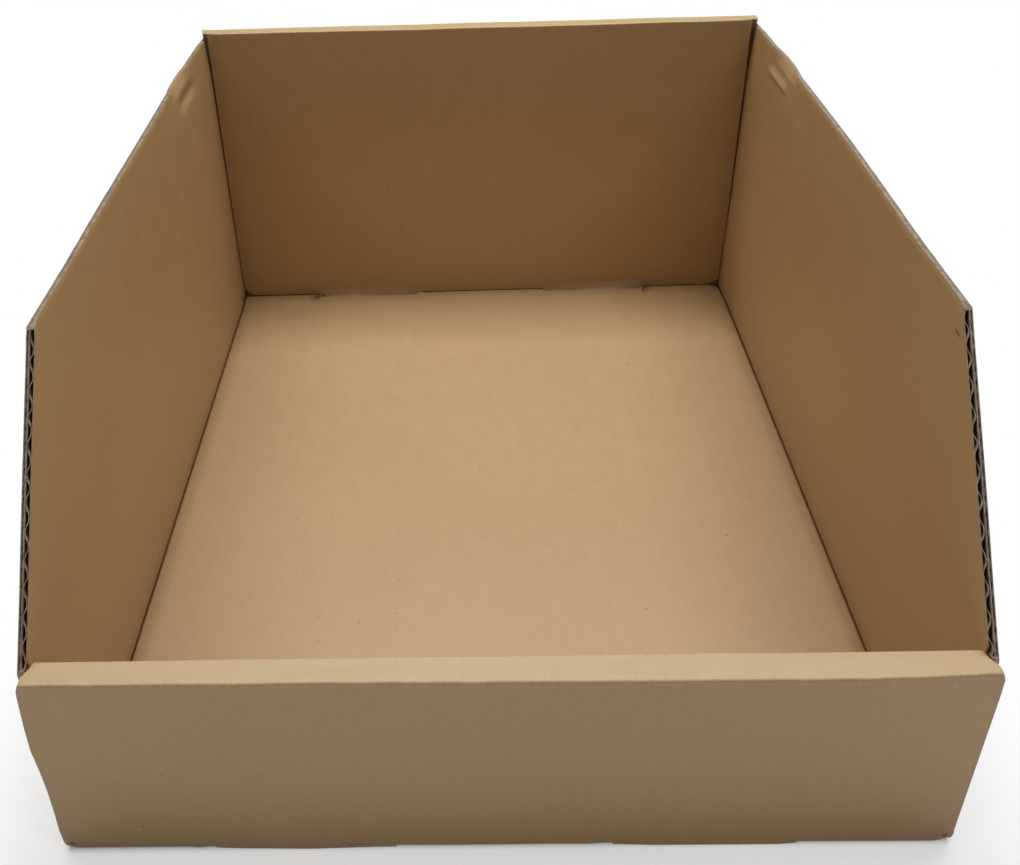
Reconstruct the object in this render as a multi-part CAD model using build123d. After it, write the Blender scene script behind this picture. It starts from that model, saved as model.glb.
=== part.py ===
from build123d import *
from collections import namedtuple
from math import hypot
import os

# Outside size of the folded bin: width along X, depth along Y, front towards -Y
width = 300.0
depth = 400.0
side_height = 163.0
back_height = 166.5
lip_height = 80.0

# Corrugated board and how it folds
board = 3.0
ply_gap = 0.25
floor_crease_radius = 1.5
corner_crease_radius = 1.5
ledge_crease_radius = 0.8
score_depth = 0.6
score_half_width = 0.4

# Rolled-over front and back walls: outer panel, tuck flap and inner panel lie against each other
wall_depth = 3 * board + 2 * ply_gap
inner_panel_width = 292.0
inner_panel_foot = 1.0
corner_relief_width = 6.0
corner_relief_height = 4.0
tuck_flap_length = 48.0
back_flare = 2.5

# Sloped cut edge of each side panel, from the front lip up to the level top edge
slope_foot_setback = 4.5
slope_top_setback = 75.0

# Locking tabs of the inner panels and their slots, which reach the front or back floor crease
tab_width = 60.0
tab_taper = 1.5
tab_offset = 67.5
tab_tip_height = 0.3
slot_width = 61.5
slot_show = 0.4

# The board's two layers of flutes, which run front to back along the blank.
# Each is given by its pitch, its height, its paper's thickness and its distance from the inside face.
Flutes = namedtuple("Flutes", "pitch height paper near")
liner = 0.32
wide_flutes = Flutes(pitch=6.8, height=1.5, paper=0.26, near=liner)
fine_flutes = Flutes(pitch=3.4, height=0.54, paper=0.15, near=2 * liner + wide_flutes.height)
crown_share = 0.07
flute_open_depth = 5.0
flute_end_margin = 0.8

half_width = width / 2
half_depth = depth / 2
half_inner = inner_panel_width / 2
side_inner_face = half_width - board
flap_outer_face = half_depth - board - ply_gap
flap_inner_face = flap_outer_face - board
slope_foot = (-half_depth + slope_foot_setback, lip_height)
slope_top = (-half_depth + slope_top_setback, side_height)
overcut = 10.0


def prism_along_x(points, half_length):
    """A solid from an outline in Y and Z, centred on X = 0."""
    outline = make_face(Plane.YZ * Polyline(*points, close=True))
    return extrude(outline, amount=half_length, both=True)


def prism_along_y(points, rear, length):
    """A solid from an outline in X and Z, running forward from its rear end."""
    outline = make_face(Plane.XZ * Polyline(*points, close=True))
    return Pos(0, rear, 0) * extrude(outline, amount=length, dir=(0, -1, 0))


def prism_along_z(points, bottom, top):
    """A solid from an outline in X and Y between two heights."""
    outline = make_face(Polyline(*points, close=True))
    return Pos(0, 0, bottom) * extrude(outline, amount=top - bottom, dir=(0, 0, 1))


def block(low, high):
    """A solid box between two opposite corners."""
    size = [b - a for a, b in zip(low, high)]
    return Pos(*low) * Box(*size, align=(Align.MIN, Align.MIN, Align.MIN))


def both_sides(shape):
    """A shape and its mirror image across the bin's middle plane."""
    return shape + mirror(shape, about=Plane.YZ)


def at_back(shape):
    """The same shape at the other end of the bin."""
    return mirror(shape, about=Plane.XZ)


def crease_waste(length):
    """What a rounded crease leaves off a square edge along Y, at the corner X = 0, Z = 0."""
    radius = floor_crease_radius
    corner = Rectangle(radius, radius, align=(Align.MIN, Align.MIN))
    round_edge = Pos(radius, radius) * Circle(radius)
    return extrude(Plane.XZ * (corner - round_edge), amount=length / 2, both=True)


def floor_crease_waste():
    """The same waste along all four edges of the floor."""
    at_left = Pos(-half_width, 0, 0) * crease_waste(depth)
    at_front = Pos(0, -half_depth, 0) * Rot(0, 0, 90) * crease_waste(width)
    return both_sides(at_left) + at_front + at_back(at_front)


def floor_and_sides():
    """The floor with both side panels folded up from it, the score pressed into each inside corner."""
    right_half = [
        (0, 0),
        (half_width, 0),
        (half_width, side_height),
        (side_inner_face, side_height),
        (side_inner_face, board + score_half_width),
        (side_inner_face + score_depth, board - score_depth),
        (side_inner_face - score_half_width, board),
        (0, board),
    ]
    panels = both_sides(prism_along_y(right_half, flap_inner_face, 2 * flap_inner_face))
    floor_ends = block((-half_width, -half_depth, 0), (half_width, half_depth, board - score_depth))
    floor_top = block(
        (-side_inner_face + score_half_width, -half_depth, 0),
        (side_inner_face - score_half_width, half_depth, board),
    )
    return panels + floor_ends + floor_top


def tuck_flaps():
    """The upright right side panel, folded inward at the front and at the back as a tuck flap."""
    flap_end = half_width - tuck_flap_length
    points = [
        (half_width, -flap_outer_face),
        (half_width, flap_outer_face),
        (flap_end, flap_outer_face),
        (flap_end, flap_inner_face),
        (side_inner_face, flap_inner_face),
        (side_inner_face, -flap_inner_face),
        (flap_end, -flap_inner_face),
        (flap_end, -flap_outer_face),
    ]
    section = make_face(Polyline(*points, close=True))
    creases = [v for v in section.vertices() if v.X > half_width - ply_gap]
    section = fillet(creases, corner_crease_radius)
    foot = board + ply_gap
    return Pos(0, 0, foot) * extrude(section, amount=side_height - foot, dir=(0, 0, 1))


def ledge_end(flare):
    """The front and rear corners of the front ledge's slanted right end, seen from above."""
    front = (half_width + flare, -half_depth)
    rear = (half_inner, -half_depth + wall_depth)
    return front, rear


def ledge_space(height, flare):
    """The ledge of the front wall with its clearance, and everything above and inside it."""
    front, rear = ledge_end(flare)
    front_x = front[0] + ply_gap
    rear_x = rear[0] + ply_gap
    rear_y = rear[1] + ply_gap
    points = [(-front_x, front[1]), (front_x, front[1]), (rear_x, rear_y), (-rear_x, rear_y)]
    return prism_along_z(points, height - board - ply_gap, back_height + overcut)


def side_trim():
    """What the die cuts away from the side panels and their tuck flaps."""
    run = slope_top[0] - slope_foot[0]
    rise = slope_top[1] - slope_foot[1]
    past_foot = (slope_foot[0] - overcut, slope_foot[1] - rise * overcut / run)
    past_top = (slope_top[0] + overcut, slope_top[1] + rise * overcut / run)
    above_slope = prism_along_x([past_foot, past_top, (past_foot[0], past_top[1])], width)
    return above_slope + ledge_space(lip_height, 0) + at_back(ledge_space(back_height, back_flare))


def rolled_wall(height, flare):
    """The front wall: outer panel, ledge and inner panel folded from one strip."""
    outer = -half_depth
    inner = outer + wall_depth
    foot = board + inner_panel_foot
    strip = [
        (outer, 0),
        (outer, height),
        (inner, height),
        (inner, foot),
        (inner - board, foot),
        (inner - board, height - board),
        (outer + board, height - board),
        (outer + board, 0),
    ]
    section = make_face(Polyline(*strip, close=True))
    creases = [v for v in section.vertices() if v.Y > height - ply_gap]
    section = fillet(creases, ledge_crease_radius)
    wall = extrude(Plane.YZ * section, amount=half_width + flare, both=True)
    return wall & wall_outline(height, flare)


def wall_outline(height, flare):
    """The blank's outline at the front wall: outer panel, slanted ledge ends, narrower inner panel."""
    under_ledge = height - board
    foot = board + inner_panel_foot
    front, rear = ledge_end(flare)
    outer_half = [(0, 0), (half_width, 0), (front[0], under_ledge), (0, under_ledge)]
    outer_panel = prism_along_y(outer_half, -half_depth + board, board)
    ledge_half = [(0, front[1]), front, rear, (0, rear[1])]
    ledge = prism_along_z(ledge_half, under_ledge, height)
    inner_half = [
        (0, under_ledge),
        (half_inner, under_ledge),
        (half_inner, foot + corner_relief_height),
        (half_inner - corner_relief_width, foot),
        (0, foot),
    ]
    inner_panel = prism_along_y(inner_half, rear[1], board)
    return both_sides(outer_panel + ledge + inner_panel)


def locking_tab():
    """One tab at the foot of the front inner panel."""
    half_root = tab_width / 2
    half_tip = half_root - tab_taper
    root = board + inner_panel_foot + ply_gap
    points = [
        (tab_offset - half_root, root),
        (tab_offset - half_tip, tab_tip_height),
        (tab_offset + half_tip, tab_tip_height),
        (tab_offset + half_root, root),
    ]
    return prism_along_y(points, -half_depth + wall_depth, board)


def floor_slot():
    """The slot behind the front crease that takes the tab."""
    half_slot = slot_width / 2
    low = (tab_offset - half_slot, -half_depth + board, -overcut)
    high = (tab_offset + half_slot, -half_depth + wall_depth + slot_show, board)
    return block(low, high)


def raw_edge():
    """The outer panel's square foot beside the slot, where the crease is cut away."""
    half_slot = slot_width / 2
    low = (tab_offset - half_slot, -half_depth, 0)
    high = (tab_offset + half_slot, -half_depth + board, board)
    return block(low, high)


def flute_outlines(flutes, start, stop):
    """The open flutes of one layer between two stations along the cut edge.

    Each outline point is a station and a distance from the board's inside face. Neighbours open to
    opposite liners, and each is wide at its liner and narrow at its crown.
    """
    paper_run = flutes.paper * hypot(flutes.height, flutes.pitch / 2) / flutes.height
    half_crown = crown_share * flutes.pitch
    half_base = flutes.pitch / 2 - half_crown - paper_run
    far = flutes.near + flutes.height
    station = start + flute_end_margin + half_base
    towards_inside = True
    outlines = []
    while station + half_base + flute_end_margin < stop:
        base = flutes.near if towards_inside else far
        crown = far - flutes.paper if towards_inside else flutes.near + flutes.paper
        outline = [
            (station - half_base, base),
            (station + half_base, base),
            (station + half_crown, crown),
            (station - half_crown, crown),
        ]
        outlines.append((station, outline))
        station += flutes.pitch / 2
        towards_inside = not towards_inside
    return outlines


def slope_flutes():
    """The flutes that the right side panel's sloped edge cuts open."""
    cells = []
    for flutes in (wide_flutes, fine_flutes):
        for station, outline in flute_outlines(flutes, lip_height, side_height):
            points = [(side_inner_face + off, height) for height, off in outline]
            share = (station - slope_foot[1]) / (slope_top[1] - slope_foot[1])
            mouth = slope_foot[0] + share * (slope_top[0] - slope_foot[0])
            cells.append(prism_along_y(points, mouth + flute_open_depth, flute_open_depth + overcut))
    return cells


def ledge_flutes(height, flare):
    """The flutes that the front ledge's slanted ends cut open between its two folds."""
    front, rear = ledge_end(flare)
    cells = []
    for flutes in (wide_flutes, fine_flutes):
        for station, outline in flute_outlines(flutes, rear[0], front[0]):
            points = [(x, height - board + off) for x, off in outline]
            cells.append(prism_along_y(points, rear[1], wall_depth - board))
    return cells


def folded_bin():
    """The whole bin, folded from one blank."""
    slots = both_sides(floor_slot())
    tabs = both_sides(locking_tab())
    sides = both_sides(tuck_flaps()) + floor_and_sides() - side_trim()
    sides -= slots + at_back(slots)
    front = rolled_wall(lip_height, 0) + tabs
    back = at_back(rolled_wall(back_height, back_flare) + tabs)
    blank = sides + front + back - floor_crease_waste()
    raw_edges = both_sides(raw_edge())
    blank = blank + raw_edges + at_back(raw_edges)
    cells = slope_flutes() + ledge_flutes(lip_height, 0)
    cells += [at_back(cell) for cell in ledge_flutes(back_height, back_flare)]
    return blank - cells - [mirror(cell, about=Plane.YZ) for cell in cells]


bin_solid = folded_bin()
os.makedirs("parts", exist_ok=True)
export_step(bin_solid, "parts/folded_bin.step")
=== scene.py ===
import bpy
import bmesh
import math
import numpy as np
from mathutils import Matrix, Vector


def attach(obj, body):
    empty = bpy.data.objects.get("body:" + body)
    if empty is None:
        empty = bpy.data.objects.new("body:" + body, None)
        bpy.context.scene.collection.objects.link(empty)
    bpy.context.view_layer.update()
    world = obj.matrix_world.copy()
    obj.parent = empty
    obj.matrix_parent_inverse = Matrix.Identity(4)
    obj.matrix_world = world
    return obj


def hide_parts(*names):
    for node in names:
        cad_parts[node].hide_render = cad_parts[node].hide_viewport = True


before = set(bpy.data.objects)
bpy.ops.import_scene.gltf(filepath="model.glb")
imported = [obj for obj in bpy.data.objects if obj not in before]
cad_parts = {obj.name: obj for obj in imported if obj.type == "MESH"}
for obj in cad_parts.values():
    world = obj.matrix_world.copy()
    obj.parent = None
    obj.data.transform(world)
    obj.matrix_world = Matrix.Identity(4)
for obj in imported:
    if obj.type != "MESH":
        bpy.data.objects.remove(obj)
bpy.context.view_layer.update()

# The sizes below are in millimetres, and Blender's are in metres
mm = 0.001

# Sizes of the folded bin, as the solid has them
half_width = 150.0
half_depth = 200.0
side_top = 163.0
back_top = 166.5
lip_top = 80.0
board = 3.0
wall_depth = 9.5
half_inner = 146.0
side_inner_face = half_width - board
flap_outer_face = half_depth - board - 0.25
inner_panel_face = half_depth - wall_depth
slope_foot = (-195.5, lip_top)
slope_top = (-125.0, side_top)

# Where a locking tab's slot in the floor starts and stops, across from the middle
slot_start = 37.75
slot_stop = 99.25

# Just inside each layer of board, measured from the middle: across for the side panels, along for the
# inner panels, tuck flaps and outer panels of both end walls
side_panel_from = 146.9
inner_panel_from = 190.2
tuck_flap_from = 193.6
outer_panel_from = 196.9

# The board's two layers of flutes: distance from the inside face, height, pitch and paper
wide_layer = dict(near=0.25, height=1.57, pitch=6.8, paper=0.31)
fine_layer = dict(near=2.14, height=0.60, pitch=3.4, paper=0.19)
channel_depth = 14.0
channel_margin = 0.7

# How far the side panels have sprung outwards at their top edge: station along the bin, distance
left_spread = ((-200, 0.5), (-122, 0.6), (-79, 0.85), (-38, 1.7), (10, 2.1), (69, 2.7),
               (102, 3.2), (140, 3.4), (182, 3.2), (196, 2.0), (200, 1.9))
right_spread = ((-200, 0.1), (-118, 0.1), (-73, 0.8), (-31, 2.3), (20, 3.7), (65, 4.2),
                (99, 4.4), (150, 4.5), (182, 4.4), (196, 3.3), (200, 3.2))
# How far each side panel as a whole stands out
left_tuck = -0.15
right_tuck = -0.48

# Along x: how far the front panel's foot stands forward, how far its top crease is pressed down, and
# how far the crease behind it is raised
foot_forward = ((-150, -0.1), (-107, -0.1), (-103, 0.5), (-99, -0.3), (-95, 0.0),
                (-87, 0.25), (-66, 0.7), (-45, 0.2), (-37, 0.1), (-18, 0.35),
                (15, 0.3), (28, 0.5), (36, 0.0), (44, 0.3), (50, 0.6),
                (92, 0.75), (97, 0.4), (110, 0.45), (138, 0.7), (150, 0.8))
crease_pressed = ((-150, 0.0), (-142, 0.07), (-124, 0.2), (-82, 0.3), (-58, 0.31),
                  (-27, 0.47), (3, 0.6), (33, 0.7), (64, 0.8), (112, 0.87),
                  (127, 0.7), (136, 0.6), (144, 0.4), (150, 0.2))
lip_raised = ((-150, 0.45), (-110, 0.5), (-80, 0.7), (-58, 0.6), (-27, 0.7),
              (3, 0.5), (64, 0.54), (86, 0.07), (150, 0.05))

# Half a ledge and a little more on the blank, in metres
half_ledge = 0.0048

# Colours of the paper, and of the shade and sheen painted on it
kraft = dict(
    deep=(0.426, 0.268, 0.113, 1.0),
    pale=(0.456, 0.290, 0.127, 1.0),
    clouded=(0.400, 0.248, 0.101, 1.0),
    fibre=(0.488, 0.319, 0.150, 1.0),
    stained=(0.386, 0.238, 0.100, 1.0),
    rib=(0.331, 0.209, 0.089, 1.0),
    speck=(0.09, 0.045, 0.02, 1.0),
    fleck=(0.78, 0.62, 0.42, 1.0),
    # painted shade in the inner corners
    corner=(0.10, 0.048, 0.016, 1.0),
    # painted sheen on the two ledges
    ledge=(0.54, 0.46, 0.23, 1.0),
    worn_fold=(0.570, 0.410, 0.240, 1.0),
    # painted shade in the scores beside the floor
    score=(0.112, 0.026, 0.0, 1.0),
    frayed_cut=(0.304, 0.228, 0.142, 1.0),
    dark_rim=(0.24, 0.185, 0.13, 1.0),
    pale_rim=(0.38, 0.315, 0.235, 1.0),
    # painted shade deep in the cut board and in its fluting
    shade_in_board=(0.14, 0.075, 0.035, 1.0),
    shade_in_fluting=(0.17, 0.095, 0.045, 1.0),
)


def share(value):
    """Value held between 0 and 1."""
    return np.clip(value, 0.0, 1.0)


def ease(value):
    """Value held between 0 and 1 with soft ends."""
    value = share(value)
    return value * value * (3.0 - 2.0 * value)


def bell(distance, width):
    """One at no distance, fading to nothing within about two widths."""
    return np.exp(-(distance / width) ** 2)


def through(points, at):
    """A soft line through a few points."""
    stations, values = np.array(points).T
    reach = np.linspace(-9.0, 9.0, 7)
    return sum(np.interp(at + step, stations, values) for step in reach) / len(reach)


def ripple(at, length, seed):
    """An uneven wave between about -1 and 1."""
    turn = 2.0 * math.pi / length
    return (0.5 * np.sin(turn * at + seed) + 0.3 * np.sin(1.73 * turn * at + 2.1 * seed)
            + 0.2 * np.sin(3.1 * turn * at + 3.7 * seed))


def slope_gap(y, z):
    """How far a point of a side panel is from its nearest cut edge, the sloped or the level one."""
    run = slope_top[0] - slope_foot[0]
    rise = slope_top[1] - slope_foot[1]
    below_slope = ((y - slope_foot[0]) * rise - (z - slope_foot[1]) * run) / math.hypot(run, rise)
    return np.minimum(below_slope, side_top - z)


def settle(points):
    """Moves points of the flat-sided bin to where the used board has sprung, bowed and been pressed."""
    x, y, z = (points / mm).T
    flank = np.sign(x)
    out = np.abs(x)
    in_side = (z > 3.02) & (((out > 146.95) & (np.abs(y) < outer_panel_from))
                            | ((np.abs(y) > tuck_flap_from) & (np.abs(y) < outer_panel_from)))
    in_back = (y > inner_panel_from) & ~in_side
    in_front = (y < -inner_panel_from) & ~in_side
    moved = np.array([x, y, z])

    # Side panels and tuck flaps: level edges rolled outwards, a kink near the back, then the lean
    gap = slope_gap(y, z)
    depth_in = share((half_width - out) / board) * (out > side_panel_from)
    level = ease((y + 129.0) / 12.0)
    from_top = side_top - z
    pinched = 0.55 + 0.50 * ease((y - 60.0) / 60.0) + 0.35 * ease((-70.0 - y) / 40.0)
    rolled = depth_in * level * (0.35 * bell(from_top, 0.8) + pinched * share(1.0 - from_top / 19.0))
    lean = np.where(x < 0, through(left_spread, y), through(right_spread, y)) * share(z / side_top)
    tuck = np.where(x < 0, left_tuck, right_tuck) * ease(z / 40.0)
    belly = (0.35 * ripple(y, 160.0, 0.6) * np.sin(math.pi * share(z / side_top))
             * share((188.0 - np.abs(y)) / 40.0))
    left_crest = np.interp(z, (147.3, 151.0, 156.5), (0.0, 1.5, 0.0))
    right_crest = np.interp(z, (149.4, 151.0, 154.4, 158.0), (0.0, -0.8, 0.75, 0.6))
    crest = (ease((y - 112.0) / 14.0) * ease((160.0 - y) / 16.0)
             * np.where(x < 0, left_crest, right_crest))
    flared = (ease((y - 103.0) / 10.0) * ease((152.0 - y) / 22.0)
              * np.interp(z, (157.5, 163.0), (0.0, 0.8)))
    kink = crest + flared * (1.0 + 1.5 * depth_in)
    side_x = flank * (out + rolled + lean + tuck + belly + kink)
    moved[0] = np.where(in_side, side_x, moved[0])
    rough = bell(gap, 0.5) * in_side * (out > side_panel_from)
    moved[2] += rough * (0.10 * ripple(y, 7.0, 2.0) + 0.06 * ripple(y, 2.3, 0.4))

    # The folds beside the floor run slightly askew, and the score in them is pressed deeper
    at_foot = (ease((out - 138.0) / 8.0) * (1.0 - ease((z - 3.0) / 22.0))
               * share((outer_panel_from - np.abs(y)) / 25.0))
    askew = np.where(x < 0, 0.1 + 0.0016 * y, -0.05 - 0.0055 * y)
    moved[0] -= flank * askew * at_foot
    in_score = (out > 147.5) & (out < 147.7) & (z > 2.3) & (z < 2.5)
    moved[0] += in_score * flank * 0.6
    moved[2] -= in_score * 0.7

    # Back wall: its inner panel wider at the top, its ledge a little high, its foot pushed back, and
    # its tabs bent forward in their slots
    inward = share((half_depth - y) / 6.5)
    widened = (inward * (0.5 + np.where(x < 0, 1.5, 1.6) * share(z / back_top))
               + 0.3 * share(z / back_top))
    widened = widened * x / half_inner
    moved[0] += in_back * widened
    lift = 0.38 + 0.16 * ripple(x, 90.0, 1.3) + inward * (0.45 * (x / half_width) ** 2 - 0.05)
    moved[2] += in_back * lift * share(z / back_top) ** 2
    at_tabs = (out > 37.6) & (out < 99.3)
    moved[1] -= 2.0 * at_tabs * (y > 190.45) * (y < tuck_flap_from) * share(1.0 - z / 4.0)
    slot_ends = (z < 3.1) & (y > 190.05) & (y < 194.0)
    moved[0] += slot_ends * flank * 0.65 * ((np.abs(out - slot_start) < 0.1) * 1.0
                                            - (np.abs(out - slot_stop) < 0.1))
    moved[1] += (y > 189.0) * (1.4 + 1.2 * share((x + 40.0) / 180.0)) * share(1.0 - z / 60.0)
    moved[1] -= 2.0 * at_tabs * (y > 189.6) * (y < 190.45) * (z < 3.1)
    above_floor = in_back & (y < 193.7) & (z > 3.5) & ~at_tabs
    moved[2] += above_floor * (0.9 + 0.5 * share((x + 100.0) / 200.0)) * share(1.0 - z / 30.0)
    narrowed = np.where(x < 0, 2.2, 1.0) * share((z - 100.0) / 60.0) * ease((out - 140.0) / 8.0)
    moved[0] -= (y > outer_panel_from) * (z < back_top - 2.9) * flank * narrowed
    back_bow = 0.5 * (1.0 - (x / half_width) ** 2) * np.sin(math.pi * share(z / back_top))
    moved[1] += np.where(y > 189.0, back_bow, 0.0)

    # Front wall: bowed face, wavy ledge creases, raw slot edges pushed forward, blunted corners
    front_bow = 0.6 * (1.0 - (x / half_width) ** 2) * np.sin(math.pi * share(z / lip_top)) ** 0.8
    moved[1] -= np.where(y < -189.0, front_bow, 0.0)
    at_crease = bell(z - lip_top, 2.5) * in_front
    moved[2] += (at_crease * (0.16 * ripple(x, 60.0, 0.3) + 0.11 * ripple(x, 17.0, 1.9))
                 * bell(y + half_depth, 2.5))
    tip = at_crease * ease((out - 145.5) / 5.0) * bell(y + half_depth, 2.0)
    moved[0] -= tip * flank * 0.9
    moved[2] -= tip * 0.5
    pressed = np.interp(x, *np.array(crease_pressed).T) * in_front
    moved[1] -= 1.5 * pressed * share((-190.5 - y) / 9.5) * share(z / lip_top)
    moved[2] -= pressed * share((-190.5 - y) / 9.5) * share(z / lip_top)
    raised = np.interp(x, *np.array(lip_raised).T) * in_front
    moved[2] += raised * share((y + half_depth) / wall_depth) * share(z / lip_top)
    foot = ease(1.0 - z / 7.0) * (y < -outer_panel_from)
    moved[1] -= foot * np.interp(x, *np.array(foot_forward).T)
    moved[2] += foot * (1.6 * ease((x - 143.5) / 6.5) + 1.0 * ease((-x - 146.0) / 4.0))
    moved[0] -= ((y < -outer_panel_from) * flank * 1.2 * share(1.0 - z / 4.5) ** 2
                 * ease((out - 145.0) / 5.0))
    panel_edge = (y < -outer_panel_from) * ease((out - 145.0) / 4.5)
    left_edge = 1.15 * ease((z - 37.0) / 8.0) * ease((81.0 - z) / 30.0) + 0.3 * bell(z - 9.5, 2.5)
    right_edge = 0.45 * share(z / lip_top)
    moved[0] += panel_edge * np.where(x < 0, -left_edge, right_edge)

    # Floor: hardly noticeable unevenness, and a slight rise towards the back wall
    moved[2] += (0.12 * (ripple(x, 190.0, 0.8) + ripple(y, 230.0, 2.2))
                 * (z < 3.1) * (z > 2.0) * (out < 140.0))
    risen = ((0.9 + 0.7 * share((x + 100.0) / 200.0)) * ease((y - 30.0) / 150.0)
             * ease((148.0 - out) / 10.0))
    moved[2] += risen * (z < 3.1) * (y < 197.0)
    return moved.T * mm


def mesh_points(mesh):
    """The mesh's points as an array."""
    flat = np.empty(len(mesh.vertices) * 3)
    mesh.vertices.foreach_get("co", flat)
    return flat.reshape(-1, 3)


def settle_mesh(mesh):
    """Moves the mesh's points with the settled board."""
    mesh.vertices.foreach_set("co", settle(mesh_points(mesh)).ravel())
    mesh.update()


def place(name, mesh):
    """A new object for a mesh."""
    piece = bpy.data.objects.new(name, mesh)
    bpy.context.scene.collection.objects.link(piece)
    return piece


def slope_y(z):
    """Where the sloped cut edge is at a height."""
    return np.interp(z, (slope_foot[1], slope_top[1]), (slope_foot[0], slope_top[0]))


def channel_cutter():
    """Closed blocks that open both flute layers behind each sloped edge."""
    bm = bmesh.new()
    low = lip_top + channel_margin
    high = side_top - channel_margin
    for flank in (-1, 1):
        for layer in (wide_layer, fine_layer):
            near = side_inner_face + layer["near"]
            far = near + layer["height"]
            rings = []
            for x in (near, far):
                ring = []
                for z, step in ((low, -3.0), (low, channel_depth), (high, channel_depth), (high, -3.0)):
                    ring.append(bm.verts.new(Vector((flank * x, slope_y(z) + step, z)) * mm))
                rings.append(ring)
            bm.faces.new(rings[0])
            bm.faces.new(rings[1])
            for i in range(4):
                j = (i + 1) % 4
                bm.faces.new((rings[0][i], rings[0][j], rings[1][j], rings[1][i]))
    bmesh.ops.recalc_face_normals(bm, faces=bm.faces)
    mesh = bpy.data.meshes.new("channel_cutter")
    bm.to_mesh(mesh)
    bm.free()
    return place("channel_cutter", mesh)


def bake_modifiers(piece):
    """The piece's mesh with its modifiers worked in."""
    shaped = piece.evaluated_get(bpy.context.evaluated_depsgraph_get())
    return bpy.data.meshes.new_from_object(shaped)


def opened_board():
    """A copy of the folded solid with its flute layers opened along the sloped edges."""
    bm = bmesh.new()
    bm.from_mesh(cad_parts["folded_bin"].data)
    bmesh.ops.remove_doubles(bm, verts=bm.verts, dist=2e-6)
    mesh = bpy.data.meshes.new("board_copy")
    bm.to_mesh(mesh)
    bm.free()
    copy = place("board_copy", mesh)
    cutter = channel_cutter()
    cut = copy.modifiers.new("open the flutes", "BOOLEAN")
    cut.operation = "DIFFERENCE"
    cut.solver = "EXACT"
    cut.object = cutter
    opened = bake_modifiers(copy)
    bpy.data.objects.remove(copy)
    bpy.data.objects.remove(cutter)
    return opened


def cut_along(bm, point, normal, keep=None):
    """Adds a line of points where a plane crosses the mesh, or only the faces that keep allows."""
    faces = [f for f in bm.faces if keep is None or keep(f.calc_center_median() / mm)]
    edges = {e for f in faces for e in f.edges}
    verts = {v for f in faces for v in f.verts}
    bmesh.ops.bisect_plane(bm, geom=list(verts) + list(edges) + faces, dist=1e-7,
                           plane_co=Vector(point) * mm, plane_no=Vector(normal))


def finely_divided(mesh):
    """Divides the board's long faces, closely beside cut edges and creases, so that it can bend."""
    bm = bmesh.new()
    bm.from_mesh(mesh)
    bmesh.ops.remove_doubles(bm, verts=bm.verts, dist=2e-6)
    step = 10.0
    for x in np.arange(-half_width + step, half_width, step):
        cut_along(bm, (x, 0, 0), (1, 0, 0))
    for y in np.arange(-half_depth + step, half_depth, step):
        cut_along(bm, (0, y, 0), (0, 1, 0))
    for z in np.arange(step, back_top, step):
        cut_along(bm, (0, 0, z), (0, 0, 1))
    run = slope_top[0] - slope_foot[0]
    rise = slope_top[1] - slope_foot[1]
    uphill = Vector((0, -rise, run)).normalized()
    for gap in (0.4, 0.9, 1.5, 2.2, 3.2, 19.0):
        cut_along(bm, (0, 0, side_top - gap), (0, 0, 1),
                  keep=lambda c: abs(c.x) > side_panel_from and c.z > 150 and c.y > -130)
    for z in np.arange(144.0, 160.0, 1.0):
        cut_along(bm, (0, 0, z), (0, 0, 1),
                  keep=lambda c: abs(c.x) > side_panel_from and c.z > 138 and 95 < c.y < 175)
    for y in np.arange(98.0, 170.0, 4.0):
        cut_along(bm, (0, y, 0), (0, 1, 0),
                  keep=lambda c: abs(c.x) > side_panel_from and c.z > 138 and 95 < c.y < 175)
    for gap in (0.7, 1.6, 3.0):
        edge = Vector((0, slope_foot[0], slope_foot[1])) - uphill * gap
        cut_along(bm, edge, uphill,
                  keep=lambda c: (abs(c.x) > side_panel_from and c.z > 76
                                  and abs(slope_gap(c.y, c.z)) < 14 and c.y > -196))
        cut_along(bm, (0, 0, lip_top - gap), (0, 0, 1), keep=lambda c: c.y < -190 and c.z > 70)
        cut_along(bm, (0, -half_depth + gap, 0), (0, 1, 0), keep=lambda c: c.y < -190 and c.z > 70)
    for z in (0.6, 1.3, 2.0, 3.0, 4.0, 6.0):
        cut_along(bm, (0, 0, z), (0, 0, 1), keep=lambda c: c.y < -outer_panel_from)
    for x in (38.0, 97.0, 143.5, 145.0, 146.5, 147.5, 148.5, 149.3):
        for flank in (-1, 1):
            cut_along(bm, (flank * x, 0, 0), (1, 0, 0), keep=lambda c: c.y < -outer_panel_from)
    for x in np.arange(-144.0, 145.0, 4.0):
        cut_along(bm, (x, 0, 0), (1, 0, 0), keep=lambda c: c.y < -190.0 and (c.z > 74 or c.z < 10))
    for gap in (4.75, 7.9):
        cut_along(bm, (0, gap - half_depth, 0), (0, 1, 0), keep=lambda c: c.y < -190 and c.z > 76)
    for gap in (1.6, 4.75, 7.9):
        cut_along(bm, (0, half_depth - gap, 0), (0, 1, 0), keep=lambda c: c.y > 190 and c.z > 163)
    divided = bpy.data.meshes.new("folded_board")
    bm.to_mesh(divided)
    bm.free()
    return divided


def on_plane(value, places):
    """Whether a value is at one of several places."""
    return any(abs(value - place) < 0.03 for place in places)


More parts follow.
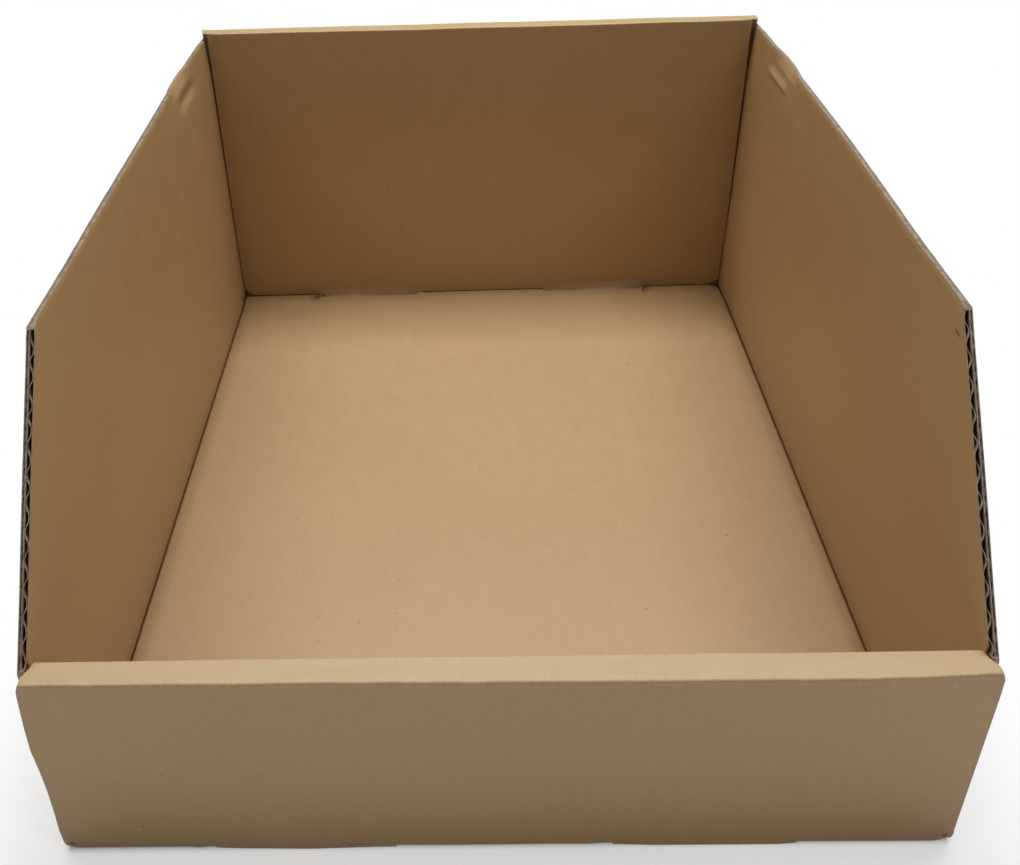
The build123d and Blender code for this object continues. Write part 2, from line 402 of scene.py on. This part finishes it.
def is_raw(centre, normal):
    """Whether a face of the flat-sided bin is a cut edge or inside a flute, and not liner."""
    x, y, z = abs(centre.x), abs(centre.y), centre.z
    across = max(abs(normal.x), abs(normal.y), abs(normal.z))
    if across > 0.999:
        if abs(normal.x) > 0.9:
            return not (on_plane(x, (side_inner_face, half_width)) and y < 196.8)
        if abs(normal.y) > 0.9:
            at = (half_depth, half_depth - board, flap_outer_face, flap_outer_face - board,
                  inner_panel_face + board, inner_panel_face)
            return not on_plane(y, at)
        if y > 190 and x < 153:
            ledge = lip_top if centre.y < 0 else back_top
            return not on_plane(z, (0.0, board, ledge - board, ledge))
        return not on_plane(z, (0.0, board))
    in_ledge_fold = (z > 76 and y > 190 and abs(normal.x) < 0.02
                     and not (x > 147 and centre.y > -197 and y < 197))
    in_floor_fold = z < 4
    in_corner_fold = abs(normal.z) < 0.02 and x > 148 and y > 195
    return not (in_ledge_fold or in_floor_fold or in_corner_fold)


def blank_place(centre, normal, point):
    """Where a point of a panel lies on the flat blank: across the flutes, along the flutes."""
    x, y, z = point
    side = 1 if centre.x > 0 else -1
    end = 1 if centre.y > 0 else -1
    top = back_top if centre.y > 0 else lip_top
    if (abs(centre.x) > 146.95 and abs(centre.y) < outer_panel_from and centre.z > 2.9
            and abs(normal.x) > 0.5):
        return side * (half_width + z), y
    if abs(centre.y) > outer_panel_from and centre.z > 1.5 and abs(normal.y) > 0.7:
        return x, end * (half_depth + z)
    if abs(centre.y) > inner_panel_from and centre.z > top - 3.2 and abs(normal.z) > 0.7:
        return x, end * (half_depth + top + half_depth - abs(y))
    if tuck_flap_from < abs(centre.y) < outer_panel_from and centre.z > 3.1:
        return side * (half_width + z), end * (half_depth + half_width - abs(x))
    if inner_panel_from < abs(centre.y) < tuck_flap_from and centre.z > 3.05:
        return x, end * (half_depth + top + wall_depth + top - z)
    return x, y


def mark_board(mesh):
    """Marks the paper of faces, the place of corners on the blank, how near points are to wear, and
    where shade is painted: deep in the flutes, in the scores and in the inner corners.
    """
    blank = mesh.uv_layers.new(name="blank")
    centres = [Vector(f.center) / mm for f in mesh.polygons]
    points = mesh_points(mesh) / mm
    raw = np.zeros(len(mesh.polygons), dtype=int)
    for face, centre in zip(mesh.polygons, centres):
        raw[face.index] = is_raw(centre, face.normal)
        for corner in face.loop_indices:
            point = points[mesh.loops[corner].vertex_index]
            blank.data[corner].uv = [c * mm for c in blank_place(centre, face.normal, point)]
    mesh.polygons.foreach_set("material_index", raw)
    x, y, z = points.T
    out = np.abs(x)
    folds = np.full(len(points), 99.0)
    for end, top in ((-1, lip_top), (1, back_top)):
        for rear in (half_depth, inner_panel_face):
            folds = np.minimum(folds, np.hypot(end * y - rear, z - top))
        folds = np.minimum(folds, np.hypot(end * y - half_depth, z))
    folds = np.minimum(folds, np.hypot(out - half_width, z))
    cuts = np.where((out > side_panel_from) & (np.abs(y) < outer_panel_from) & (z > 5),
                    np.abs(slope_gap(y, z)), 99.0)
    cuts = np.minimum(cuts, np.where((y < -outer_panel_from) & (z > 2), half_width - out, 99.0))
    cuts = np.minimum(cuts, np.where((y > outer_panel_from) & (z > 2),
                                     np.abs(half_width + 2.5 * z / back_top - out), 99.0))
    # How deep points lie in the opened flutes and behind the back wall's inner panel, with set depths
    # for the level top edges and the back wall's top corners: it paints shade on the cut edges
    in_flutes = (out > 147.1) & (out < 149.9) & (np.abs(y) < 196.5) & (z > lip_top)
    behind_back = ((y > inner_panel_face - 0.1) & (y < inner_panel_face + board + 0.1)
                   & (z < back_top - board))
    deep = np.where(in_flutes, np.maximum(slope_gap(y, z), 0.0), np.where(behind_back, 1.5, 0.0))
    level_top = (z > side_top - 0.02) & (out > side_panel_from) & (np.abs(y) < outer_panel_from)
    deep = np.where(level_top, np.where(x < 0, 0.40, 0.30) + 0.15 * (out - side_inner_face), deep)
    deep = np.where((y > inner_panel_from) & (z > back_top - 4.0) & (out > 144.0), 1.0, deep)
    # Distance to the score beside the floor, where shade is painted into the crease; the tuck flaps
    # beside their folds get it in full
    score = np.hypot(out - side_inner_face - 0.2, z - board + 0.1)
    # Distance to the inner corners beside the floor, at the foot of the back wall and at its two
    # upright corners, where shade is painted
    corner = np.minimum(score, np.hypot(y - inner_panel_face, z - board))
    score = np.where((y > 193.2) & (y < 193.8) & (out > 142.0), 0.0, score)
    corner = np.minimum(corner, np.hypot(y - inner_panel_face, out - half_inner))
    corner = np.where((out > 149.5) | (z < 0.5) | (y > 193.0), 99.0, corner)
    measures = (("fold_distance", folds), ("cut_distance", cuts), ("flute_shade_depth", deep),
                ("score_distance", score), ("corner_shade_distance", corner))
    for name, distance in measures:
        layer = mesh.attributes.new(name, "FLOAT", "POINT")
        layer.data.foreach_set("value", np.abs(distance) * mm)


# Shader nodes

def add(tree, kind, inputs=(), out=0, **settings):
    """Adds a node, feeds its inputs in order or by name, and returns one of its outputs."""
    node = tree.nodes.new(kind)
    for name, value in settings.items():
        setattr(node, name, value)
    pairs = inputs.items() if isinstance(inputs, dict) else enumerate(inputs)
    for socket, value in pairs:
        if value is None:
            continue
        if isinstance(value, bpy.types.NodeSocket):
            tree.links.new(value, node.inputs[socket])
        else:
            node.inputs[socket].default_value = value
    return node.outputs[out]


def calc(tree, operation, *values, clamp=False):
    """A sum of two or three numbers."""
    return add(tree, "ShaderNodeMath", values, operation=operation, use_clamp=clamp)


def between(tree, value, low, high):
    """Zero below low, one above high, with soft ends."""
    node = tree.nodes.new("ShaderNodeMapRange")
    node.interpolation_type = "SMOOTHSTEP"
    tree.links.new(value, node.inputs["Value"])
    node.inputs["From Min"].default_value = low
    node.inputs["From Max"].default_value = high
    return node.outputs["Result"]


def blend(tree, amount, first, second, mode="MIX"):
    """One colour over another."""
    node = tree.nodes.new("ShaderNodeMix")
    node.data_type = "RGBA"
    node.blend_type = mode
    for socket, value in ((0, amount), (6, first), (7, second)):
        if isinstance(value, bpy.types.NodeSocket):
            tree.links.new(value, node.inputs[socket])
        else:
            node.inputs[socket].default_value = value
    return node.outputs[2]


def group(name, inputs, outputs):
    """A new shader node group with its input and output nodes."""
    tree = bpy.data.node_groups.new(name, "ShaderNodeTree")
    for label, kind, value in inputs:
        socket = tree.interface.new_socket(label, in_out="INPUT", socket_type=kind)
        if value is not None:
            socket.default_value = value
    for label, kind in outputs:
        tree.interface.new_socket(label, in_out="OUTPUT", socket_type=kind)
    start = tree.nodes.new("NodeGroupInput")
    end = tree.nodes.new("NodeGroupOutput")
    return tree, start.outputs, end.inputs


def use(tree, shared, **values):
    """Places a shared node group, with its inputs named by their labels, and returns its outputs."""
    node = tree.nodes.new("ShaderNodeGroup")
    node.node_tree = shared
    for label, value in values.items():
        socket = node.inputs[label.replace("_", " ")]
        if isinstance(value, bpy.types.NodeSocket):
            tree.links.new(value, socket)
        else:
            socket.default_value = value
    return node.outputs


number = "NodeSocketFloat"
vector = "NodeSocketVector"


def scattered(tree, place_in, scale, share_of, widest, faintest, strongest):
    """Small round marks in some cells of the sheet, most of them faint."""
    cells = add(tree, "ShaderNodeTexVoronoi", {"Vector": place_in, "Scale": scale},
                voronoi_dimensions="2D").node.outputs
    tone = add(tree, "ShaderNodeSeparateColor", (cells["Color"],)).node.outputs
    size = calc(tree, "MULTIPLY", calc(tree, "ADD", tone[1], 0.5), widest / 1.5)
    soft = calc(tree, "MULTIPLY", calc(tree, "SUBTRACT", size, cells["Distance"]), 3.0 / widest,
                clamp=True)
    force = calc(tree, "MULTIPLY", calc(tree, "POWER", tone[2], 5.0), strongest - faintest)
    force = calc(tree, "ADD", force, faintest)
    return calc(tree, "MULTIPLY", calc(tree, "MULTIPLY", soft, force),
                calc(tree, "LESS_THAN", tone[0], share_of))


def paper_fibres():
    """Clouds, mottling, fibres, dark specks, light flecks and relief of unbleached paper."""
    inputs = (("Place", vector, None), ("Stretch", number, 1.6), ("Specks", number, 0.1),
              ("Flecks", number, 0.1))
    outputs = (("Cloud", number), ("Mottle", number), ("Fibre", number), ("Speck", number),
               ("Fleck", number),
               ("Relief", number))
    tree, given, result = group("paper fibres", inputs, outputs)
    place_in = given["Place"]
    cloud = add(tree, "ShaderNodeTexNoise",
                {"Vector": place_in, "Scale": 13.0, "Detail": 1.0, "Roughness": 0.5})
    tree.links.new(cloud, result["Cloud"])
    axes = add(tree, "ShaderNodeCombineXYZ", (given["Stretch"], 1.0, 1.0))
    drawn = add(tree, "ShaderNodeVectorMath", (place_in, axes), operation="MULTIPLY")
    mottle = add(tree, "ShaderNodeTexNoise",
                 {"Vector": drawn, "Scale": 75.0, "Detail": 3.0, "Roughness": 0.85})
    tree.links.new(mottle, result["Mottle"])
    fibre = add(tree, "ShaderNodeTexNoise",
                {"Vector": drawn, "Scale": 420.0, "Detail": 2.0, "Roughness": 0.7})
    tree.links.new(fibre, result["Fibre"])

    bent = add(tree, "ShaderNodeVectorMath", (fibre.node.outputs["Color"], (0.001, 0.001, 0.0)),
               operation="MULTIPLY")
    torn = add(tree, "ShaderNodeVectorMath", (place_in, bent), operation="ADD")
    tree.links.new(scattered(tree, torn, 190.0, given["Specks"], 0.10, 0.08, 0.90), result["Speck"])
    shifted = add(tree, "ShaderNodeVectorMath", (torn, (0.37, 0.11, 0.0)), operation="ADD")
    tree.links.new(scattered(tree, shifted, 170.0, given["Flecks"], 0.12, 0.07, 0.20), result["Fleck"])

    grain = add(tree, "ShaderNodeTexNoise",
                {"Vector": drawn, "Scale": 800.0, "Detail": 2.0, "Roughness": 0.7})
    tree.links.new(grain, result["Relief"])
    return tree


def flute_ribs():
    """The faint ribs that the flutes press through the liner, across the blank."""
    tree, given, result = group("flute ribs", (("Blank", vector, None), ("Pitch", number, 0.0068)),
                                (("Rib", number),))
    across = add(tree, "ShaderNodeSeparateXYZ", (given["Blank"],))
    sway = add(tree, "ShaderNodeTexNoise", {"Vector": given["Blank"], "Scale": 9.0, "Detail": 0.0})
    turn = calc(tree, "DIVIDE", calc(tree, "MULTIPLY", across, 2.0 * math.pi), given["Pitch"])
    wave = calc(tree, "SINE", calc(tree, "ADD", turn, calc(tree, "MULTIPLY", sway, 1.6)))
    tree.links.new(calc(tree, "MULTIPLY", wave, between(tree, sway, 0.35, 0.65)), result["Rib"])
    return tree


def attribute(tree, name):
    """A number that the mesh carries at each point."""
    node = tree.nodes.new("ShaderNodeAttribute")
    node.attribute_name = name
    return node.outputs["Fac"]


def new_material(name, roughness, specular):
    """A material with its Principled shader."""
    material = bpy.data.materials.new(name)
    material.use_nodes = True
    tree = material.node_tree
    shader = tree.nodes["Principled BSDF"]
    shader.inputs["Roughness"].default_value = roughness
    shader.inputs["Specular IOR Level"].default_value = specular
    return material, tree, shader


def kraft_liner(fibres, ribs):
    """The board's brown outer paper, with painted shade in its scores and inner corners and a painted
    sheen on its ledges.
    """
    material, tree, shader = new_material("kraft liner", 0.6, 0.9)
    solid_place = add(tree, "ShaderNodeTexCoord", out=3)
    blank_node = tree.nodes.new("ShaderNodeUVMap")
    blank_node.uv_map = "blank"
    blank = blank_node.outputs[0]
    sheet_at = add(tree, "ShaderNodeSeparateXYZ", (blank,)).node.outputs
    across_floor = calc(tree, "LESS_THAN", calc(tree, "ABSOLUTE", sheet_at[0]), half_width * mm)
    along_floor = calc(tree, "LESS_THAN", calc(tree, "ABSOLUTE", sheet_at[1]), half_depth * mm)
    on_floor = calc(tree, "MULTIPLY", across_floor, along_floor)
    thinning = calc(tree, "SUBTRACT", 0.28, calc(tree, "MULTIPLY", sheet_at[1], 0.95))
    specks = calc(tree, "ADD", calc(tree, "MULTIPLY", on_floor, thinning), 0.06)
    flecks = calc(tree, "ADD", calc(tree, "MULTIPLY", on_floor, 0.45), 0.10)
    paper = use(tree, fibres, Place=blank, Specks=specks, Flecks=flecks)
    wide = use(tree, ribs, Blank=blank, Pitch=0.0068)["Rib"]

    colour = blend(tree, between(tree, paper["Mottle"], 0.30, 0.70), kraft["deep"],
                   kraft["pale"])
    colour = blend(tree, calc(tree, "MULTIPLY", between(tree, paper["Cloud"], 0.35, 0.70), 0.20),
                   colour,
                   kraft["clouded"])
    colour = blend(tree, calc(tree, "MULTIPLY", between(tree, paper["Fibre"], 0.38, 0.68), 0.30),
                   colour,
                   kraft["fibre"])
    stain = add(tree, "ShaderNodeTexNoise", {"Vector": solid_place, "Scale": 5.0, "Detail": 2.0})
    colour = blend(tree, calc(tree, "MULTIPLY", between(tree, stain, 0.35, 0.7), 0.18), colour,
                   kraft["stained"])
    colour = blend(tree, calc(tree, "MULTIPLY", wide, 0.05, clamp=True), colour, kraft["rib"])
    colour = blend(tree, paper["Speck"], colour, kraft["speck"])
    colour = blend(tree, paper["Fleck"], colour, kraft["fleck"])
    # Painted shade: darker towards the folds beside the floor, the foot of the back wall and the two
    # upright back corners
    corner = attribute(tree, "corner_shade_distance")
    corner_shade_close = calc(tree, "MULTIPLY",
                 calc(tree, "SUBTRACT", 1.0, between(tree, corner, 0.0005, 0.010)), 0.16)
    corner_shade_wide = calc(tree, "MULTIPLY", calc(tree, "SUBTRACT", 1.0, between(tree, corner, 0.0, 0.060)),
                   0.09)
    colour = blend(tree, calc(tree, "ADD", corner_shade_close, corner_shade_wide), colour, kraft["corner"])
    # Painted sheen: the two ledges a little yellower and paler
    front_middle = -(half_depth + lip_top + wall_depth / 2) * mm
    back_middle = (half_depth + back_top + wall_depth / 2) * mm
    front_ledge = calc(tree, "COMPARE", sheet_at[1], front_middle, half_ledge)
    back_ledge = calc(tree, "COMPARE", sheet_at[1], back_middle, half_ledge)
    painted_ledge_sheen = calc(tree, "ADD", front_ledge, back_ledge)
    colour = blend(tree, calc(tree, "MULTIPLY", painted_ledge_sheen, 0.20), colour, kraft["ledge"])
    worn = calc(tree, "SUBTRACT", 1.0, between(tree, attribute(tree, "fold_distance"), 0.0005, 0.003))
    scuff = between(tree, paper["Fibre"], 0.42, 0.62)
    colour = blend(tree, calc(tree, "MULTIPLY", calc(tree, "MULTIPLY", worn, scuff), 0.18), colour,
                   kraft["worn_fold"])
    # Painted shade: a dark line in the scores beside the floor, and on the tuck flaps beside their
    # folds
    shaded = calc(tree, "SUBTRACT", 1.0,
                  between(tree, attribute(tree, "score_distance"), 0.0004, 0.0015))
    colour = blend(tree, calc(tree, "MULTIPLY", shaded, 0.92), colour, kraft["score"])
    frayed = calc(tree, "SUBTRACT", 1.0, between(tree, attribute(tree, "cut_distance"), 0.0002, 0.0016))
    colour = blend(tree, calc(tree, "MULTIPLY", frayed, 0.30), colour, kraft["frayed_cut"])
    tree.links.new(colour, shader.inputs["Base Color"])

    rough = calc(tree, "ADD", calc(tree, "MULTIPLY", paper["Mottle"], 0.25), 0.43)
    tree.links.new(rough, shader.inputs["Roughness"])
    bump = add(tree, "ShaderNodeBump",
               {"Strength": 0.5, "Distance": 0.00005, "Height": paper["Relief"]})
    tree.links.new(bump, shader.inputs["Normal"])
    return material


def torn_paper(name, fibres, inside):
    """The light, rough rim of cut paper, turning to dark painted shade deeper in, behind the cut."""
    material, tree, shader = new_material(name, 0.9, 0.2)
    solid_place = add(tree, "ShaderNodeTexCoord", out=3)
    paper = use(tree, fibres, Place=solid_place, Stretch=1.0)
    rim = blend(tree, between(tree, paper["Fibre"], 0.35, 0.65), kraft["dark_rim"], kraft["pale_rim"])
    # Painted shade: the cut edges and fluting darken deeper into the board
    colour = blend(tree, between(tree, attribute(tree, "flute_shade_depth"), 0.0002, 0.0012), rim, inside)
    tree.links.new(colour, shader.inputs["Base Color"])
    bump = add(tree, "ShaderNodeBump",
               {"Strength": 0.7, "Distance": 0.00015, "Height": paper["Relief"]})
    tree.links.new(bump, shader.inputs["Normal"])
    return material


# Geometry nodes

def fluting_tree():
    """A waved ribbon of paper from a foot to a top point, running back into the board."""
    tree = bpy.data.node_groups.new("fluting ribbon", "GeometryNodeTree")
    inputs = (("Foot", vector, None), ("Top", vector, None), ("Pitch", number, 0.0068),
              ("Height", number, 0.0015),
              ("Paper", number, 0.00024), ("Depth", number, 0.013), ("Unevenness", number, 0.00012),
              ("Seed", number, 1.0), ("Material", "NodeSocketMaterial", None))
    for label, kind, value in inputs:
        socket = tree.interface.new_socket(label, in_out="INPUT", socket_type=kind)
        if value is not None:
            socket.default_value = value
    tree.interface.new_socket("Geometry", in_out="OUTPUT", socket_type="NodeSocketGeometry")
    given = tree.nodes.new("NodeGroupInput").outputs
    end = tree.nodes.new("NodeGroupOutput")

    foot = add(tree, "ShaderNodeSeparateXYZ", (given["Foot"],)).node.outputs
    top = add(tree, "ShaderNodeSeparateXYZ", (given["Top"],)).node.outputs
    rise = calc(tree, "SUBTRACT", top[2], foot[2])
    waves = calc(tree, "DIVIDE", rise, given["Pitch"])
    stations = calc(tree, "ADD", calc(tree, "MULTIPLY", waves, 14.0), 1.0)
    sheet = add(tree, "GeometryNodeMeshGrid", {"Size X": 1.0, "Size Y": 1.0, "Vertices X": stations,
                                               "Vertices Y": 4})
    flat = add(tree, "ShaderNodeSeparateXYZ", (add(tree, "GeometryNodeInputPosition"),)).node.outputs
    along = calc(tree, "ADD", flat[0], 0.5)
    inward = calc(tree, "ADD", flat[1], 0.5)
    line = tree.nodes.new("ShaderNodeMix")
    line.data_type = "VECTOR"
    tree.links.new(along, line.inputs[0])
    tree.links.new(given["Foot"], line.inputs[4])
    tree.links.new(given["Top"], line.inputs[5])
    spine = line.outputs[1]

    chance = add(tree, "ShaderNodeCombineXYZ",
                 (calc(tree, "MULTIPLY", along, waves), inward, given["Seed"]))
    wobble = add(tree, "ShaderNodeTexNoise", {"Vector": chance, "Scale": 0.9, "Detail": 2.0})
    turn = calc(tree, "MULTIPLY", calc(tree, "MULTIPLY", along, waves), 2.0 * math.pi)
    turn = calc(tree, "ADD", turn, calc(tree, "MULTIPLY", calc(tree, "SUBTRACT", wobble, 0.5), 2.0))
    swing = calc(tree, "MULTIPLY", calc(tree, "SUBTRACT", given["Height"], given["Paper"]), 0.5)
    wave = calc(tree, "SINE", turn)
    full = calc(tree, "MULTIPLY", calc(tree, "SIGN", wave),
                calc(tree, "POWER", calc(tree, "ABSOLUTE", wave), 0.8))
    offset = calc(tree, "MULTIPLY", full, swing)
    crush = add(tree, "ShaderNodeTexNoise", {"Vector": chance, "Scale": 2.3, "Detail": 3.0})
    crush = calc(tree, "MULTIPLY", calc(tree, "SUBTRACT", crush, 0.5), given["Unevenness"])
    back = calc(tree, "ADD", calc(tree, "MULTIPLY", inward, given["Depth"]),
                calc(tree, "MULTIPLY", crush, 3.0))
    step = add(tree, "ShaderNodeCombineXYZ", (calc(tree, "ADD", offset, crush), back, crush))
    place_at = add(tree, "ShaderNodeVectorMath", (spine, step), operation="ADD")
    # The depth into the board, for the painted shade deeper in the fluting
    marked = add(tree, "GeometryNodeStoreNamedAttribute",
                 {"Geometry": sheet, "Name": "flute_shade_depth",
                  "Value": calc(tree, "MULTIPLY", inward, given["Depth"])}, data_type="FLOAT",
                  domain="POINT")
    waved = add(tree, "GeometryNodeSetPosition", {"Geometry": marked, "Position": place_at})

    thick = tree.nodes.new("GeometryNodeExtrudeMesh")
    tree.links.new(waved, thick.inputs["Mesh"])
    tree.links.new(given["Paper"], thick.inputs["Offset Scale"])
    thick.inputs["Individual"].default_value = False
    under = add(tree, "GeometryNodeFlipFaces", {"Mesh": waved})
    both = tree.nodes.new("GeometryNodeJoinGeometry")
    tree.links.new(under, both.inputs[0])
    tree.links.new(thick.outputs["Mesh"], both.inputs[0])
    merged = add(tree, "GeometryNodeMergeByDistance",
                 {"Geometry": both.outputs[0], "Distance": 0.00001})
    whole = add(tree, "GeometryNodeRealizeInstances", (merged,))
    painted = add(tree, "GeometryNodeSetMaterial", {"Geometry": whole, "Material": given["Material"]})
    tree.links.new(painted, end.inputs[0])
    return tree


def run_tree(name, tree, values):
    """The mesh that a geometry tree makes with these inputs."""
    holder = place(name, bpy.data.meshes.new(name + "_holder"))
    maker = holder.modifiers.new("make", "NODES")
    maker.node_group = tree
    sockets = {s.name: s.identifier for s in tree.interface.items_tree if s.in_out == "INPUT"}
    for label, value in values.items():
        maker[sockets[label]] = value
    mesh = bake_modifiers(holder)
    bpy.data.objects.remove(holder)
    return mesh


def fluting_pieces(material):
    """The waved papers that show in the opened layers, one for each layer and side."""
    tree = fluting_tree()
    pieces = []
    low = lip_top + channel_margin
    high = side_top - channel_margin
    seed = 1.0
    for side, flank in (("left", -1), ("right", 1)):
        for layer_name, layer in (("wide", wide_layer), ("fine", fine_layer)):
            middle = flank * (side_inner_face + layer["near"] + layer["height"] / 2)
            start = 0.35
            values = {
                "Foot": [c * mm for c in (middle, slope_y(low) + start, low)],
                "Top": [c * mm for c in (middle, slope_y(high) + start, high)],
                "Pitch": layer["pitch"] * mm,
                "Height": layer["height"] * mm,
                "Paper": layer["paper"] * mm,
                "Depth": (channel_depth - 1.0) * mm,
                "Unevenness": 0.00018 if layer_name == "wide" else 0.00010,
                "Seed": seed,
                "Material": material,
            }
            seed += 3.7
            mesh = run_tree(f"fluting_{side}_{layer_name}", tree, values)
            if mesh.materials and mesh.materials[0] is None:
                mesh.materials[0] = material
            settle_mesh(mesh)
            mesh.name = f"fluting_{side}_{layer_name}"
            pieces.append(place(mesh.name, mesh))
    return pieces


def smooth_with_creases(mesh, angle):
    """Smooth shading with sharp edges where faces turn by more than an angle."""
    mesh.shade_smooth()
    mesh.set_sharp_from_angle(angle=math.radians(angle))


def make_bin():
    """The used bin: the folded board and the fluting in its cut edges."""
    fibres = paper_fibres()
    ribs = flute_ribs()
    liner = kraft_liner(fibres, ribs)
    edge = torn_paper("raw board edge", fibres, kraft["shade_in_board"])
    fluting = torn_paper("fluting paper", fibres, kraft["shade_in_fluting"])
    mesh = finely_divided(opened_board())
    mesh.materials.clear()
    mesh.materials.append(liner)
    mesh.materials.append(edge)
    mark_board(mesh)
    settle_mesh(mesh)
    smooth_with_creases(mesh, 32)
    folded = place("folded_board", mesh)
    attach(folded, "root")
    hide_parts("folded_bin")
    for piece in fluting_pieces(fluting):
        smooth_with_creases(piece.data, 50)
        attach(piece, "root")


def make_floor():
    """A pale floor that the camera sees white: beyond the bin it glows, at half strength at the bin's
    edge and fully 60 mm away, so the bin's shadow shows only faintly beside it.
    """
    size = 4.0
    mesh = bpy.data.meshes.new("studio_floor")
    corners = [(-size, -size, -0.0003), (size, -size, -0.0003), (size, size, -0.0003),
               (-size, size, -0.0003)]
    mesh.from_pydata(corners, [], [(0, 1, 2, 3)])
    material, tree, shader = new_material("pale floor", 1.0, 0.0)
    rays = tree.nodes.new("ShaderNodeLightPath")
    tone = blend(tree, rays.outputs["Is Camera Ray"], (0.88, 0.88, 0.87, 1.0), (1.0, 1.0, 1.0, 1.0))
    tree.links.new(tone, shader.inputs["Base Color"])
    place_on = add(tree, "ShaderNodeTexCoord", out=3)
    spot = add(tree, "ShaderNodeSeparateXYZ", (place_on,)).node.outputs
    beyond_side = calc(tree, "SUBTRACT", calc(tree, "ABSOLUTE", spot[0]), half_width * mm)
    beyond_end = calc(tree, "SUBTRACT", calc(tree, "ABSOLUTE", spot[1]), half_depth * mm)
    outside = calc(tree, "MAXIMUM", beyond_side, beyond_end)
    # Painted light: the floor glows for the camera, half at the bin's edge and fully 60 mm away,
    # lightening the bin's shadow
    far = calc(tree, "ADD", calc(tree, "MULTIPLY", between(tree, outside, 0.0, 0.06), 0.5), 0.5)
    far = calc(tree, "MULTIPLY", far, between(tree, outside, -0.002, 0.002))
    far = calc(tree, "MULTIPLY", far, rays.outputs["Is Camera Ray"])
    glow = add(tree, "ShaderNodeEmission", {"Color": (1, 1, 1, 1), "Strength": 1.0})
    mixed = add(tree, "ShaderNodeMixShader", (far, shader.outputs[0], glow))
    tree.links.new(mixed, tree.nodes["Material Output"].inputs["Surface"])
    mesh.materials.append(material)
    place("studio_floor", mesh)


def make_light():
    """Three soft lamps above the bin, two weaker ones before it, and a white background."""
    lamps = (
        ("softbox_left", (-0.45, 0.15, 1.2), 4.4),
        ("softbox_right", (0.45, 0.15, 1.2), 5.7),
        ("softbox_behind", (0.0, 0.45, 1.2), 6.3),
        ("softbox_front_left", (-0.90, -0.74, 1.2), 2.0),
        ("softbox_front_right", (0.84, -0.80, 1.2), 3.0),
    )
    for name, position, power in lamps:
        lamp = bpy.data.lights.new(name, "AREA")
        lamp.shape = "RECTANGLE"
        lamp.size = 0.45
        lamp.size_y = 0.30
        lamp.energy = power
        softbox = bpy.data.objects.new(name, lamp)
        softbox.location = position
        bpy.context.scene.collection.objects.link(softbox)
    world = bpy.data.worlds.new("studio")
    world.use_nodes = True
    tree = world.node_tree
    rays = tree.nodes.new("ShaderNodeLightPath")
    dim = tree.nodes["Background"]
    dim.inputs["Color"].default_value = (1.0, 1.0, 1.0, 1.0)
    dim.inputs["Strength"].default_value = 0.16
    white = tree.nodes.new("ShaderNodeBackground")
    white.inputs["Color"].default_value = (1.0, 1.0, 1.0, 1.0)
    mixed = add(tree, "ShaderNodeMixShader",
                (rays.outputs["Is Camera Ray"], dim.outputs[0], white.outputs[0]))
    tree.links.new(mixed, tree.nodes["World Output"].inputs["Surface"])
    bpy.context.scene.world = world


def make_camera():
    """The camera at the photograph's height and tilt, for an image of 1020 by 865."""
    pixels_wide, pixels_high = 1020.0, 865.0
    focal, centre_x, centre_y = 1158.26, 440.50, 393.12
    pitch, roll, turn = -0.5750, 0.0343, 0.0274
    data = bpy.data.cameras.new("camera")
    data.sensor_width = 36.0
    data.sensor_fit = "HORIZONTAL"
    data.lens = focal / pixels_wide * data.sensor_width
    data.shift_x = (pixels_wide / 2 - centre_x) / pixels_wide
    data.shift_y = (centre_y - pixels_high / 2) / pixels_wide
    camera = bpy.data.objects.new("camera", data)
    tilt = (Matrix.Rotation(turn, 4, "Z") @ Matrix.Rotation(pitch, 4, "X")
            @ Matrix.Rotation(roll, 4, "Y"))
    level_view = Matrix.Rotation(math.pi / 2, 4, "X")
    camera.matrix_world = Matrix.Translation((-0.00970, -0.44662, 0.34319)) @ tilt @ level_view
    bpy.context.scene.collection.objects.link(camera)
    bpy.context.scene.camera = camera


make_camera()
make_light()
make_floor()
make_bin()
bpy.context.scene.view_settings.view_transform = "Standard"
